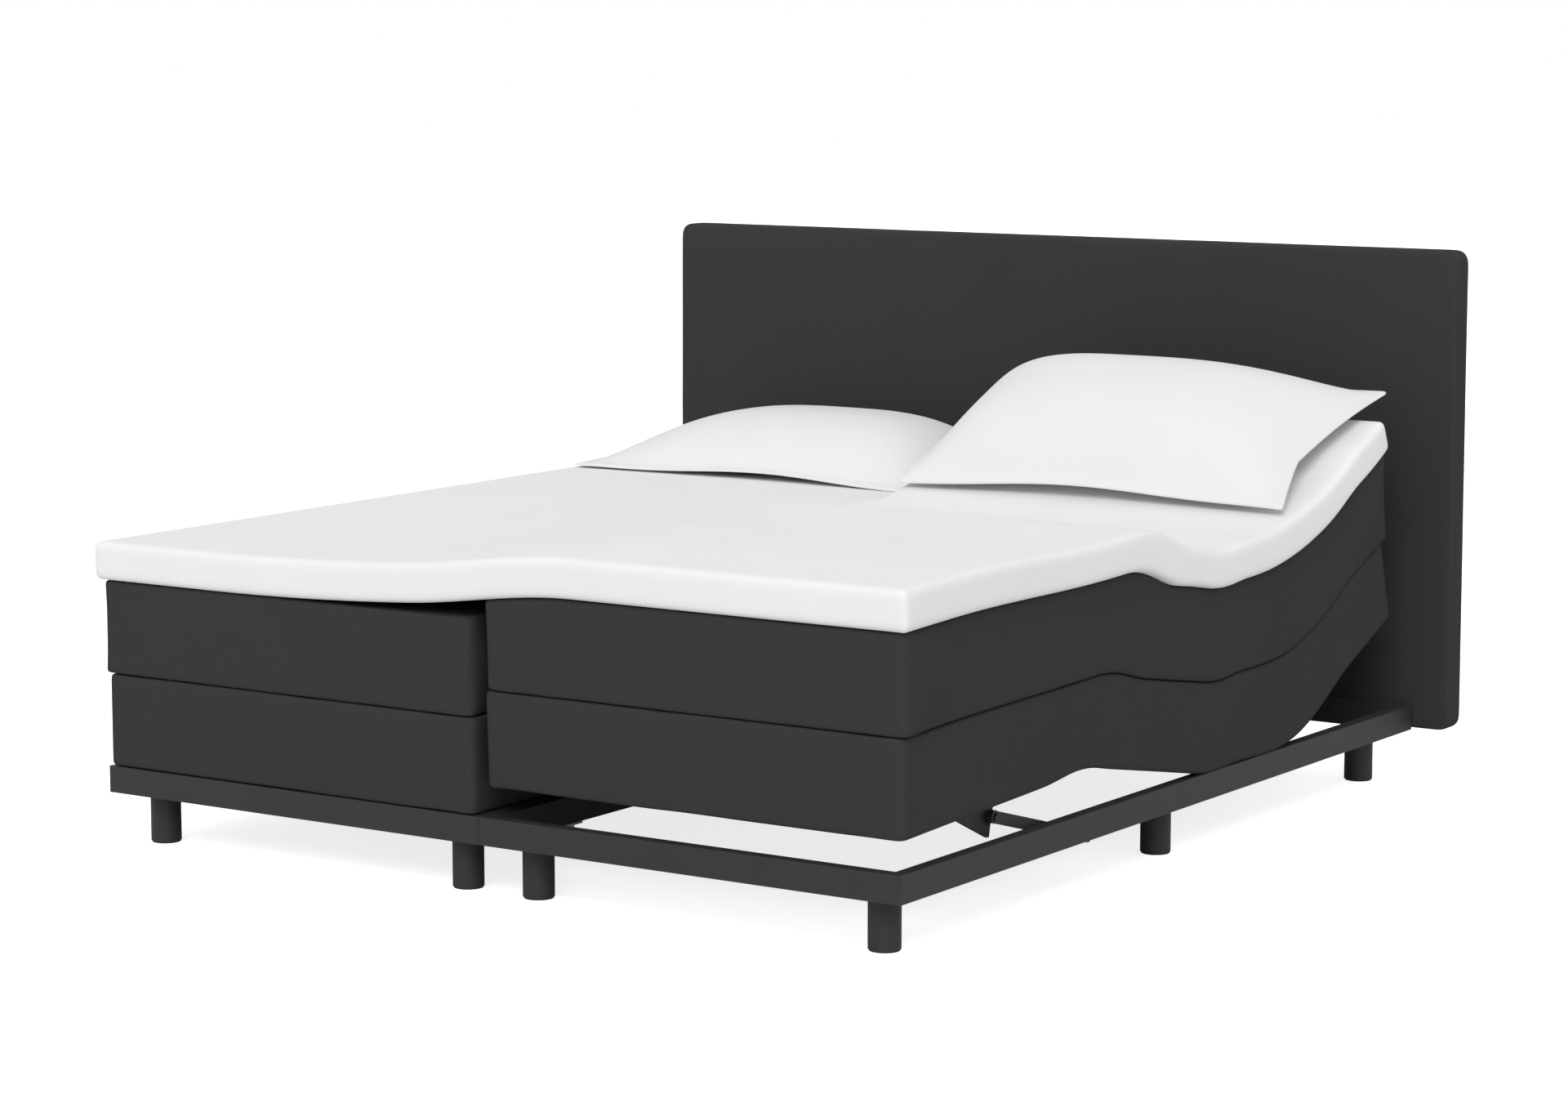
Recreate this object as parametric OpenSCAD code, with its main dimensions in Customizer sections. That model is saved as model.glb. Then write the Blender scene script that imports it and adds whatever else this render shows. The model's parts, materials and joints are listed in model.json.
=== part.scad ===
// Adjustable double bed: two motorised units side by side on steel frames,
// each with four hinged upholstered sections, a mattress, and one shared topper.
// Millimetres, +Z up, +X to the side, +Y towards the headboard.
// The origin is on the floor under the middle of the whole bed.

/* [Base frame] */
// Width of one unit's steel frame
unit_w = 892; // [800:4:960]
// Length of the steel frame
bed_l = 2000; // [1960:10:2100]
// Height of the frame rails
rail_h = 51; // [45:1:60]
// Width of the frame rails
rail_t = 25; // [20:1:28]
// Floor to the underside of the rails
leg_h = 99; // [80:1:140]
// Diameter of a leg
leg_d = 58; // [40:1:60]
// Thickness of the plastic glide under a leg
glide_t = 3; // [2:1:8]
// Centre of the outer legs from the side of the unit
leg_outer = 77; // [60:1:85]
// Centre of the inner legs from the middle of the bed
leg_inner = 80; // [60:1:85]
// Centre of the foot legs from the foot end
leg_foot = 73; // [60:1:95]
// Centre of the middle legs from the foot end
leg_mid = 1032; // [900:4:1060]
// Centre of the head legs from the head end
leg_head = 91; // [60:1:95]
// Thickness of the plates that hold the legs
leg_plate_t = 5; // [4:1:8]

/* [Sections] */
// Length of the calf section
calf_l = 660; // [640:5:700]
// Length of the thigh section
thigh_l = 420; // [400:5:460]
// Length of the fixed seat section
seat_l = 320; // [310:5:345]
// Gap between the back section and the end of the frame
end_gap = 8; // [7:1:15]
// Height of the hinge axes above the underside of the boxes
hinge_up = 55; // [50:1:65]
// Air between the rails and the boxes
box_gap = 4; // [3:0.5:8]
// Size of the square tubes of the section frames
tube = 25; // [20:1:25]
// Section tubes from the side of the unit
tube_inset = 52; // [50:1:56]
// End of the section tubes from a hinge axis
tube_back = 40; // [38:1:46]

/* [Poses] */
// Largest angle of the back section
back_max_angle = 60; // [50:1:60]
// Largest angle of the thigh section
thigh_max_angle = 30; // [24:1:32]
// Turn of the calf section for each degree of the thigh
calf_ratio = 1.2; // [1.1:0.05:1.25]
// Turn of the calf link for each degree of the thigh
link_ratio = 1.15; // [1.13:0.01:1.17]
// Angle at which the right back section is stored
back_stored_angle = 22.5; // [0:0.5:40]
// Angle at which the right thigh section is stored
thigh_stored_angle = 10.5; // [6:0.5:20]

/* [Soft parts] */
// Height of the upholstered boxes
box_h = 174; // [150:1:200]
// Height of the mattress
mattress_h = 180; // [150:1:220]
// Height of the topper
topper_h = 75; // [50:1:90]
// Boxes from the outer side of the unit
box_side = 3; // [0:1:8]
// Boxes from the middle of the bed
box_middle = 14; // [10:1:20]
// How far the mattress stands out past the outer side
mattress_out = 3; // [0:1:10]
// How far the topper stands out past the outer side
topper_out = 19; // [5:1:25]
// How far the topper stands out past the foot end
topper_foot = 12; // [5:1:20]
// Corner radius of the boxes and mattresses
soft_r = 32; // [15:1:45]
// Corner radius of the topper
topper_r = 16; // [8:1:30]
// Distance of a soft block from the plane where it folds
fold_gap = 0.5; // [0.4:0.1:2]
// Length of a pillow
pillow_l = 880; // [600:5:885]
// Width of a pillow
pillow_w = 500; // [400:5:520]
// Height of a pillow
pillow_h = 134; // [100:1:160]
// Height of a pillow's seam at its edges
pillow_seam = 46; // [30:1:60]
// Pillow from the head end of the topper
pillow_back = 10; // [5:5:60]
// How much farther up the pillow lies on a raised back
pillow_climb = 75; // [0:5:90]

/* [Mechanism] */
// Thickness of the single hinge plates
plate_t = 8; // [6:1:9]
// Thickness of the paired hinge plates
cheek_t = 6; // [4:1:7]
// Diameter of the hinge pins
pin_d = 12; // [10:1:14]
// Radial clearance of the turning pins
pin_play = 0.1; // [0.05:0.01:0.1]
// Radius of the hinge eyes
eye_r = 14; // [12:1:16]
// Height of the motor rods below the hinge axes
rod_drop = 92; // [86:1:96]
// Motor rods from the middle of the unit
rod_side = 45; // [42:1:52]
// Diameter of the motor rods
rod_d = 20; // [16:1:24]
// Diameter of the motor tubes
motor_d = 46; // [36:1:48]
// Diameter of the cross pins at the rod ends
rod_pin_d = 10; // [8:1:12]
// Side clearance of the rod pins in their slots
slot_play = 2.5; // [2.4:0.1:4]
// Fixed pivot of the calf links from the foot end
link_y = 681; // [676:1:686]
// Drop of the fixed link pivots below the hinge axes
link_drop = 111; // [108:1:114]
// Moving pivot of the calf links from the foot end when flat
crank_y = 360; // [355:1:365]
// Drop of the moving link pivots below the hinge axes when flat
crank_drop = 92; // [90:1:94]
// Height of the calf link bars
link_h = 22; // [18:1:24]
// Thickness of the calf link bars
link_t = 10; // [6:1:12]
// Diameter of the link pins
link_pin_d = 10; // [8:1:12]
// Radial clearance of the open link pivots
open_play = 2.5; // [2.5:0.1:4]

/* [Headboard] */
// Width of the headboard
board_w = 1937; // [1800:1:2100]
// Height of the headboard
board_h = 994; // [700:1:1200]
// Thickness of the headboard
board_t = 71; // [50:1:100]
// Corner radius of the headboard
board_r = 26; // [10:1:40]
// Thickness of the panel that closes the back
back_t = 3; // [2:1:5]
// Thickness of the headboard brackets
bracket_t = 5; // [4:1:6]
// Width of the headboard brackets
bracket_w = 60; // [40:1:80]
// Height of the headboard brackets
bracket_h = 420; // [300:5:600]

/* [Hidden] */
$fn = 48;
rail_top = leg_h + rail_h;
box_z = rail_top + box_gap;
hinge_z = box_z + hinge_up;
mattress_z = box_z + box_h;
topper_z = mattress_z + mattress_h;
top_z = topper_z + topper_h;
knee_y = calf_l;
thigh_y = calf_l + thigh_l;
back_y = thigh_y + seat_l;
end_y = bed_l - end_gap;
board_y = bed_l + bracket_t;

// The stored calf section leans a little, so its topper reaches furthest towards the foot
calf_lean = (calf_ratio - 1) * thigh_stored_angle;
stored_knee_y = thigh_y - thigh_l * cos(thigh_stored_angle);
stored_foot_y = stored_knee_y - (knee_y + topper_foot) * cos(calf_lean)
    - (top_z - hinge_z) * sin(calf_lean);
foot_shift = -(min(-topper_foot, stored_foot_y) + board_y + board_t) / 2;
rod_z = hinge_z - rod_drop;
mid_x = unit_w / 2;
tubes_x = [tube_inset, unit_w - tube_inset - tube];
far = 4 * bed_l;

// Each face where two sections meet: place, half angle above and below the axis
foot_face = [0, 0, 0, 0];
head_face = [end_y, 0, 0, 0];
knee_face = [knee_y, 0, calf_ratio * thigh_max_angle / 2, 1];
thigh_face = [thigh_y, thigh_max_angle / 2, 0, 1];
back_face = [back_y, back_max_angle / 2, 0, 1];

pillow_lift = 0.4;

// Motor geometry: the rods run level, and the slotted levers swing past them
back_lever_r = rod_drop / cos(back_max_angle / 2);
thigh_lever_r = rod_drop / cos(thigh_max_angle / 2);
back_stroke = 2 * rod_drop * tan(back_max_angle / 2);
thigh_stroke = 2 * rod_drop * tan(thigh_max_angle / 2);
lever_t = 6;
lever_r = 13;
rod_eye_t = 12;
lever_gap = 1;
slot_end = 1;
clevis_t = 5;
motor_eye_r = 13;
gear_l = 62;
gear_w = 58;
gear_h = 56;
collar_l = 8;
motor_wall = 12;
// Socket for the cable of a motor
inlet_d = 9;
inlet_depth = 7;
// Nose of a motor to the cross pin when drawn in, and the rod that stays inside when out
nose_gap = 24;
rod_hold = 22;
rod_start = 22;
neck_h = 16;
// Bare end of a pin past the last plate on it
pin_end = 2;
// Play between plates that share a pin
side_gap = 0.5;
// Tail eye of a motor to its gearbox, and rounding of the gearbox
tail_gap = 4;
gear_r = 9;
collar_w = 3;
// Hexagon of the bolts, across its corners
bolt_d = 15;
bolt_h = 6;
rail_r = 3;
// Inner end of the seat tubes to the edge of a unit
tube_reach = 5;
link_gap = 5;

link_flat = atan2(link_drop - crank_drop, link_y - crank_y);
link_l = sqrt(pow(link_y - crank_y, 2) + pow(link_drop - crank_drop, 2));
link_x = tube_inset - link_t - link_gap;
hanger_t = 6;
// Reach of a crank plate along its tube, to each side of the pin, and below the pin
crank_front = 150;
crank_rear = 27;
crank_tip = 37;

SIDES = ["left", "right"];

STEEL = "#2a2b2d";
ZINC = "#8f9296";
DARK = "#3a3a3c";
WHITE = "#ececec";
PLASTIC = "#1c1c1e";

// ---- Placing ----

// One unit is drawn from the middle of the bed towards +X and from the foot end towards +Y
module unit(side) {
    mirror([side == "left" ? 1 : 0, 0, 0])
        translate([0, foot_shift, 0])
            children();
}

module whole_bed() {
    translate([0, foot_shift, 0])
        children();
}

// Turns its children about an axis along X
module turn(y, z, angle) {
    translate([0, y, z])
        rotate([angle, 0, 0])
            translate([0, -y, -z])
                children();
}

function back_angle(side) = side == "right" ? back_stored_angle : 0;
function thigh_angle(side) = side == "right" ? thigh_stored_angle : 0;

module on_back(side) {
    unit(side)
        turn(back_y, hinge_z, back_angle(side))
            children();
}

module on_thigh(side) {
    unit(side)
        turn(thigh_y, hinge_z, -thigh_angle(side))
            children();
}

module on_calf(side) {
    on_thigh(side)
        turn(knee_y, hinge_z, calf_ratio * thigh_angle(side))
            children();
}

// Extrudes a side view, given as (y, z), from x0 to x1
module across(x0, x1) {
    translate([x0, 0, 0])
        rotate([90, 0, 90])
            linear_extrude(x1 - x0)
                children();
}

module cross_bar(x0, x1, y, z, r) {
    across(x0, x1)
        translate([y, z])
            circle(r);
}

module rounded(w, l, r) {
    translate([r, 0]) square([w - 2 * r, l]);
    translate([0, r]) square([w, l - 2 * r]);
    for (x = [r, w - r], y = [r, l - r])
        translate([x, y]) circle(r);
}

// ---- Soft blocks ----

// How far a block stands back from a fold plane at height z
function stand_back(face, z) =
    face[3] * fold_gap + abs(z - hinge_z) * tan(z > hinge_z ? face[1] : face[2]);

function levels(z0, z1) = z0 < hinge_z && hinge_z < z1 ? [z0, hinge_z, z1] : [z0, z1];

// Side view of a block between two faces
function block_outline(low, high, z0, z1) = let (zs = levels(z0, z1), n = len(zs)) concat(
    [for (z = zs) [low[0] + stand_back(low, z), z]],
    [for (i = [n - 1:-1:0]) [high[0] - stand_back(high, zs[i]), zs[i]]]
);

module soft_block(low, high, z0, z1, x0, x1, y0, r) {
    intersection() {
        across(x0, x1)
            polygon(block_outline(low, high, z0, z1));
        translate([x0, y0, 0])
            linear_extrude(top_z + 1)
                rounded(x1 - x0, end_y - y0, r);
    }
}

module box_block(low, high) {
    difference() {
        soft_block(low, high, box_z, mattress_z, box_middle, unit_w - box_side, 0, soft_r);
        children();
    }
}

module mattress_block(low, high) {
    soft_block(
        low, high, mattress_z, topper_z,
        box_middle - mattress_out, unit_w + mattress_out, 0, soft_r
    );
}

// Half of the shared topper: its inner edge is straight
module topper_block(low, high) {
    intersection() {
        soft_block(
            low, high, topper_z, top_z,
            -unit_w - topper_out, unit_w + topper_out, -topper_foot, topper_r
        );
        translate([fold_gap / 2, -far / 2, 0])
            cube([far, far, far]);
    }
}

foot_topper = [-topper_foot, 0, 0, 0];

// ---- Section frames ----

module long_tubes(y0, y1) {
    for (x = tubes_x)
        translate([x, y0, box_z])
            cube([tube, y1 - y0, tube]);
}

module cross_tube(y, x0 = tube_inset, x1 = unit_w - tube_inset) {
    translate([x0, y, box_z])
        cube([x1 - x0, tube, tube]);
}

module ladder(y0, y1) {
    long_tubes(y0, y1);
    cross_tube(y0);
    cross_tube(y1 - tube);
}

// Side view of a hinge plate from a tube's end to the eye; way is +1 or -1 along Y
module plate_outline(y, way) {
    difference() {
        union() {
            translate([y, hinge_z]) circle(eye_r);
            polygon([
                [y + way * (tube_back + tube), box_z],
                [y + way * (tube_back + tube), box_z + tube],
                [y + way * tube_back, box_z + tube],
                [y, hinge_z + eye_r],
                [y - way * eye_r * sin(60), hinge_z - eye_r * cos(60)],
                [y + way * tube_back / 2, box_z]
            ]);
        }
        children();
    }
}

// Single plates with a bore for the pin
module hinge_tongues(y, way) {
    for (x = tubes_x)
        across(x + (tube - plate_t) / 2, x + (tube + plate_t) / 2)
            plate_outline(y, way)
                translate([y, hinge_z]) circle(pin_d / 2 + pin_play);
}

// Paired plates that carry the pin
module hinge_forks(y, way) {
    for (x = tubes_x) {
        inner = (plate_t + 2 * side_gap) / 2;
        middle = x + tube / 2;
        across(middle - inner - cheek_t, middle - inner)
            plate_outline(y, way);
        across(middle + inner, middle + inner + cheek_t)
            plate_outline(y, way);
        cross_bar(middle - inner - cheek_t, middle + inner + cheek_t, y, hinge_z, pin_d / 2);
    }
}

// Room in the boxes for the plates and pins of one hinge
module hinge_pockets(y) {
    room = 4;
    for (x = tubes_x)
        translate([x - room, y - tube_back - tube - room, box_z - 1])
            cube([tube + 2 * room, 2 * (tube_back + tube + room), hinge_up + eye_r + room + 1]);
}

// ---- Levers and motors ----

// Side view of a slotted lever; the slot points at the hinge axis
module lever_outline(y, way, r, half) {
    pin_r = rod_pin_d / 2 + slot_play;
    heel = lever_r * 0.4;
    shoulder = lever_r * 0.7;
    brow = 8;
    r0 = rod_drop - slot_end;
    r1 = r + slot_end;
    difference() {
        union() {
            polygon([
                [y + way * tube_back, box_z],
                [y + way * (tube_back + tube), box_z],
                [y - way * (r1 * sin(half) - lever_r), hinge_z - r1 * cos(half) - heel],
                [y - way * r1 * sin(half), hinge_z - r1 * cos(half) - lever_r],
                [y - way * (r0 * sin(half) + shoulder), hinge_z - r0 * cos(half) + shoulder],
                [y - way * (r0 * sin(half) - brow), hinge_z - r0 * cos(half) + lever_r]
            ]);
            translate([y, hinge_z])
                rotate(-90 - way * half)
                    for (d = [r0, r1])
                        translate([d, 0]) circle(lever_r);
            translate([y, hinge_z])
                rotate(-90 - way * half)
                    translate([r0, -lever_r]) square([r1 - r0, 2 * lever_r]);
        }
        translate([y, hinge_z])
            rotate(-90 - way * half) {
                for (d = [r0, r1])
                    translate([d, 0]) circle(pin_r);
                translate([r0, -pin_r]) square([r1 - r0, 2 * pin_r]);
            }
    }
}

module lever_pair(x, y, way, r, half) {
    inner = rod_eye_t / 2 + lever_gap;
    for (left = [x - inner - lever_t, x + inner])
        across(left, left + lever_t)
            lever_outline(y, way, r, half);
}

// Ears under a seat tube that hold the tail of a motor
module motor_ears(x, y) {
    inner = rod_eye_t / 2 + side_gap;
    for (left = [x - inner - clevis_t, x + inner])
        across(left, left + clevis_t) {
            translate([y, rod_z]) circle(motor_eye_r);
            translate([y - motor_eye_r, rod_z]) square([2 * motor_eye_r, box_z - rod_z]);
        }
    cross_bar(x - inner - clevis_t, x + inner + clevis_t, y, rod_z, rod_pin_d / 2);
}

// A linear motor that points along Y; tail and nose are the ends of its body
module motor(x, tail, nose) {
    way = nose > tail ? 1 : -1;
    start = tail + way * (motor_eye_r + tail_gap);
    body_l = abs(nose - start);
    difference() {
        union() {
            cross_bar(x - rod_eye_t / 2, x + rod_eye_t / 2, tail, rod_z, motor_eye_r);
            translate([x - rod_eye_t / 2, min(tail, start), rod_z - neck_h / 2])
                cube([rod_eye_t, abs(start - tail), neck_h]);
            translate([x, start + way * gear_l / 2, rod_z - gear_h / 2])
                linear_extrude(gear_h)
                    translate([-gear_w / 2, -gear_l / 2]) rounded(gear_w, gear_l, gear_r);
            translate([x, start, rod_z])
                rotate([-90 * way, 0, 0])
                    cylinder(h = body_l, d = motor_d);
            translate([x, nose, rod_z])
                rotate([90 * way, 0, 0])
                    cylinder(h = collar_l, d = motor_d + 2 * collar_w);
        }
        cross_bar(x - rod_eye_t, x + rod_eye_t, tail, rod_z, rod_pin_d / 2 + pin_play);
        translate([x, nose + way, rod_z])
            rotate([90 * way, 0, 0])
                cylinder(h = body_l - motor_wall, d = rod_d + 2 * pin_play);
        translate([x - gear_w / 2, start + way * gear_l / 2, rod_z])
            rotate([0, 90, 0])
                translate([0, 0, -1]) cylinder(h = inlet_depth + 1, d = inlet_d);
    }
}

// The rod of a motor, with its eye and cross pin at y
module rod(x, y, way, length) {
    reach = rod_eye_t / 2 + lever_gap + lever_t + pin_end;
    cross_bar(x - rod_eye_t / 2, x + rod_eye_t / 2, y, rod_z, motor_eye_r - 1);
    translate([x - rod_eye_t / 2, min(y, y - way * rod_start), rod_z - neck_h / 2])
        cube([rod_eye_t, rod_start, neck_h]);
    translate([x, y - way * rod_start, rod_z])
        rotate([90 * way, 0, 0])
            cylinder(h = length, d = rod_d);
    cross_bar(x - reach, x + reach, y, rod_z, rod_pin_d / 2);
}

back_rod_x = mid_x + rod_side;
leg_rod_x = mid_x - rod_side;
back_tail = thigh_y + tube_back + tube / 2;
leg_tail = back_y - tube_back - tube / 2;
back_pin_flat = back_y - back_stroke / 2;
leg_pin_flat = thigh_y + thigh_stroke / 2;
back_nose = back_pin_flat - nose_gap;
leg_nose = leg_pin_flat + nose_gap;
back_rod_l = back_stroke + nose_gap + rod_hold - rod_start;
leg_rod_l = thigh_stroke + nose_gap + rod_hold - rod_start;

function back_pin(side) = back_pin_flat + back_stroke * back_angle(side) / back_max_angle;
function leg_pin(side) = leg_pin_flat - thigh_stroke * thigh_angle(side) / thigh_max_angle;

// ---- Base frame ----

leg_spots = [
    for (y = [leg_foot, leg_mid, bed_l - leg_head])
        for (x = [leg_inner, unit_w - leg_outer]) [x, y]
];

module leg_plate(x, y) {
    inner = x < mid_x ? rail_t : unit_w - rail_t;
    reach = x + (x < mid_x ? 1 : -1) * leg_d / 2;
    spare = 8;
    length = leg_d + 2 * spare;
    translate([min(inner, reach), y - length / 2, leg_h])
        cube([abs(reach - inner), length, leg_plate_t]);
}

module link_hanger(y, z, x0, x1) {
    r = link_pin_d / 2 + 7;
    weld = 12;
    across(x0, x1) {
        translate([y, z]) circle(r);
        translate([y - r, z]) square([2 * r, rail_top - weld - z]);
    }
}

module base_frame(side) {
    color(STEEL) unit(side) {
        difference() {
            translate([0, 0, leg_h])
                linear_extrude(rail_h)
                    rounded(unit_w, bed_l, rail_r);
            translate([rail_t, rail_t, leg_h - 1])
                cube([unit_w - 2 * rail_t, bed_l - 2 * rail_t, rail_h + 2]);
        }
        for (spot = leg_spots)
            leg_plate(spot[0], spot[1]);
        link_hanger(link_y, hinge_z - link_drop, unit_w - rail_t - hanger_t, unit_w - rail_t);
        link_hanger(link_y, hinge_z - link_drop, rail_t, rail_t + hanger_t);
        cross_bar(
            unit_w - link_x - link_t - pin_end, unit_w - rail_t,
            link_y, hinge_z - link_drop, link_pin_d / 2
        );
        cross_bar(rail_t, link_x + link_t + pin_end, link_y, hinge_z - link_drop, link_pin_d / 2);
    }
}

module legs(side) {
    color(DARK) unit(side)
        for (spot = leg_spots)
            translate([spot[0], spot[1], glide_t])
                cylinder(h = leg_h - glide_t, d = leg_d);
}

module leg_glides() {
    color(PLASTIC)
        for (side = SIDES)
            unit(side)
                for (spot = leg_spots)
                    translate([spot[0], spot[1], 0])
                        cylinder(h = glide_t, d = leg_d - 4);
}

// Plates under the two inner rails, with a hexagon bolt into each rail
module frame_connectors() {
    plate_l = 80;
    plate_h = 4;
    color(ZINC) whole_bed()
        for (y = [bed_l * 0.12, bed_l * 0.87]) {
            translate([-rail_t, y - plate_l / 2, leg_h - plate_h])
                cube([2 * rail_t, plate_l, plate_h]);
            for (x = [-rail_t / 2, rail_t / 2], s = [-1, 1])
                translate([x, y + s * plate_l / 4, leg_h - plate_h - bolt_h])
                    cylinder(h = bolt_h, d = bolt_d, $fn = 6);
        }
}

module seat_frame(side) {
    front = thigh_y + tube_back;
    rear = back_y - tube_back - tube;
    color(STEEL) unit(side) {
        long_tubes(front, rear + tube);
        cross_tube(front, tube_reach, unit_w - tube_reach);
        cross_tube(rear, tube_reach, unit_w - tube_reach);
        for (x = [tube_reach, unit_w - rail_t], y = [front, rear])
            translate([x, y, rail_top])
                cube([rail_t - tube_reach, tube, box_gap]);
        hinge_tongues(thigh_y, 1);
        hinge_tongues(back_y, -1);
        motor_ears(back_rod_x, back_tail);
        motor_ears(leg_rod_x, leg_tail);
    }
}

module seat_tubes() {
    cross_tube(thigh_y + tube_back, tube_reach, unit_w - tube_reach);
    cross_tube(back_y - tube_back - tube, tube_reach, unit_w - tube_reach);
    long_tubes(thigh_y + tube_back, back_y - tube_back);
}

module seat_box(side) {
    color(DARK) unit(side)
        box_block(thigh_face, back_face) {
            seat_tubes();
            hinge_pockets(thigh_y);
            hinge_pockets(back_y);
        }
}

module seat_mattress(side) {
    color(DARK) unit(side)
        mattress_block(thigh_face, back_face);
}

// A box under the seat, with an inlet for the mains and a socket for each motor
module control_boxes() {
    box_w = 130;
    box_t = 34;
    box_x = 120;
    gap = 6;
    box_y = thigh_y + tube_back + gap;
    box_l = seat_l - 2 * (tube_back + gap);
    box_wall = 10;
    box_r = 8;
    mains = [27, 20];
    color(PLASTIC)
        for (side = SIDES)
            unit(side)
                difference() {
                    translate([box_x, box_y, box_z - box_t])
                        linear_extrude(box_t)
                            rounded(box_w, box_l, box_r);
                    translate([box_x + box_w / 4, box_y - 1, box_z - box_t / 2 - mains[1] / 2])
                        cube([mains[0], box_wall + 1, mains[1]]);
                    for (y = [box_l * 0.35, box_l * 0.6])
                        translate([box_x + box_w - box_wall, box_y + y, box_z - box_t / 2])
                            rotate([0, 90, 0])
                                cylinder(h = box_wall + 1, d = inlet_d);
                }
}

module back_motor(side) {
    color(PLASTIC) unit(side)
        motor(back_rod_x, back_tail, back_nose);
}

module leg_motor(side) {
    color(PLASTIC) unit(side)
        motor(leg_rod_x, leg_tail, leg_nose);
}

module back_rod(side) {
    color(ZINC) unit(side)
        rod(back_rod_x, back_pin(side), 1, back_rod_l);
}

module leg_rod(side) {
    color(ZINC) unit(side)
        rod(leg_rod_x, leg_pin(side), -1, leg_rod_l);
}

// ---- Back section ----

module back_frame(side) {
    color(STEEL) on_back(side) {
        ladder(back_y + tube_back, end_y - tube_back);
        hinge_forks(back_y, 1);
        lever_pair(back_rod_x, back_y, 1, back_lever_r, back_max_angle / 2);
    }
}

module back_box(side) {
    color(DARK) on_back(side)
        box_block(back_face, head_face) {
            ladder(back_y + tube_back, end_y - tube_back);
            hinge_pockets(back_y);
        }
}

module back_mattress(side) {
    color(DARK) on_back(side)
        mattress_block(back_face, head_face);
}

module back_topper(side) {
    color(WHITE) on_back(side)
        topper_block(back_face, head_face);
}

// Side view of a cushion whose seam hangs above what it lies on
function cushion(length, height, seam, steps) = concat(
    [for (i = [0:steps]) let (t = i / steps)
        [length * t, seam + (height - seam) * pow(sin(180 * t), 0.65)]],
    [for (i = [steps - 1:-1:1]) let (t = i / steps)
        [length * t, seam * pow(max(0, abs(2 * t - 1) - 0.3) / 0.7, 2)]]
);

module pillow(side) {
    steps = 20;
    x0 = mid_x - pillow_l / 2;
    climb = back_angle(side) > 0 ? pillow_climb : 0;
    y0 = end_y - pillow_back - pillow_w + climb;
    color(WHITE) on_back(side)
        translate([x0, y0, top_z + pillow_lift])
            intersection() {
                across(0, pillow_l)
                    polygon(cushion(pillow_w, pillow_h, pillow_seam, steps));
                translate([0, pillow_w, 0])
                    rotate([90, 0, 0])
                        linear_extrude(pillow_w)
                            polygon(cushion(pillow_l, pillow_h, pillow_seam, steps));
            }
}

// ---- Thigh section ----

module thigh_frame(side) {
    color(STEEL) on_thigh(side) {
        ladder(knee_y + tube_back, thigh_y - tube_back);
        hinge_forks(thigh_y, -1);
        hinge_tongues(knee_y, 1);
        lever_pair(leg_rod_x, thigh_y, -1, thigh_lever_r, thigh_max_angle / 2);
    }
}

module thigh_box(side) {
    color(DARK) on_thigh(side)
        box_block(knee_face, thigh_face) {
            ladder(knee_y + tube_back, thigh_y - tube_back);
            hinge_pockets(thigh_y);
            hinge_pockets(knee_y);
        }
}

module thigh_mattress(side) {
    color(DARK) on_thigh(side)
        mattress_block(knee_face, thigh_face);
}

module thigh_topper(side) {
    color(WHITE) on_thigh(side)
        topper_block(knee_face, thigh_face);
}

// ---- Calf section ----

// Side view of the three-cornered plate that carries a calf link
module crank_outline() {
    z = hinge_z - crank_drop;
    r = link_pin_d / 2 + 7;
    polygon([
        [crank_y - crank_front, box_z],
        [crank_y + crank_rear, box_z],
        [crank_y + r, z],
        [crank_y + 3, z - crank_tip],
        [crank_y - 3, z - crank_tip]
    ]);
    translate([crank_y, z]) circle(r);
}

module calf_frame(side) {
    pin_z = hinge_z - crank_drop;
    stub = link_gap + link_t + 3;
    color(STEEL) on_calf(side) {
        ladder(tube_back, knee_y - tube_back);
        hinge_forks(knee_y, -1);
        across(tube_inset, tube_inset + hanger_t) crank_outline();
        across(unit_w - tube_inset - hanger_t, unit_w - tube_inset) crank_outline();
        cross_bar(tube_inset - stub, tube_inset, crank_y, pin_z, link_pin_d / 2);
        cross_bar(unit_w - tube_inset, unit_w - tube_inset + stub, crank_y, pin_z, link_pin_d / 2);
    }
}

module calf_box(side) {
    color(DARK) on_calf(side)
        box_block(foot_face, knee_face) {
            ladder(tube_back, knee_y - tube_back);
            hinge_pockets(knee_y);
        }
}

module calf_mattress(side) {
    color(DARK) on_calf(side)
        mattress_block(foot_face, knee_face);
}

module calf_topper(side) {
    color(WHITE) on_calf(side)
        topper_block(foot_topper, knee_face);
}

module link_outline() {
    difference() {
        union() {
            for (y = [0, link_l]) translate([-y, 0]) circle(link_h / 2 + 1);
            translate([-link_l, -link_h / 2]) square([link_l, link_h]);
        }
        circle(link_pin_d / 2 + pin_play);
        translate([-link_l, 0]) circle(link_pin_d / 2 + open_play);
    }
}

module calf_links(side) {
    angle = link_flat + link_ratio * thigh_angle(side);
    color(STEEL) unit(side)
        for (x = [link_x, unit_w - link_x - link_t])
            across(x, x + link_t)
                translate([link_y, hinge_z - link_drop])
                    rotate(-angle) link_outline();
}

// ---- Folds: the soft material between the blocks, as it lies at rest ----

// A point at height z on a fold plane that leans by lean from upright
function on_plane(y, z, half, lean) = let (r = (z - hinge_z) / cos(half))
    [y + r * sin(lean), hinge_z + r * cos(lean)];

function wedge(y, z0, z1, half, lean0, lean1) = [
    on_plane(y, z0, half, lean0),
    on_plane(y, z1, half, lean0),
    on_plane(y, z1, half, lean1),
    on_plane(y, z0, half, lean1)
];

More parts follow.
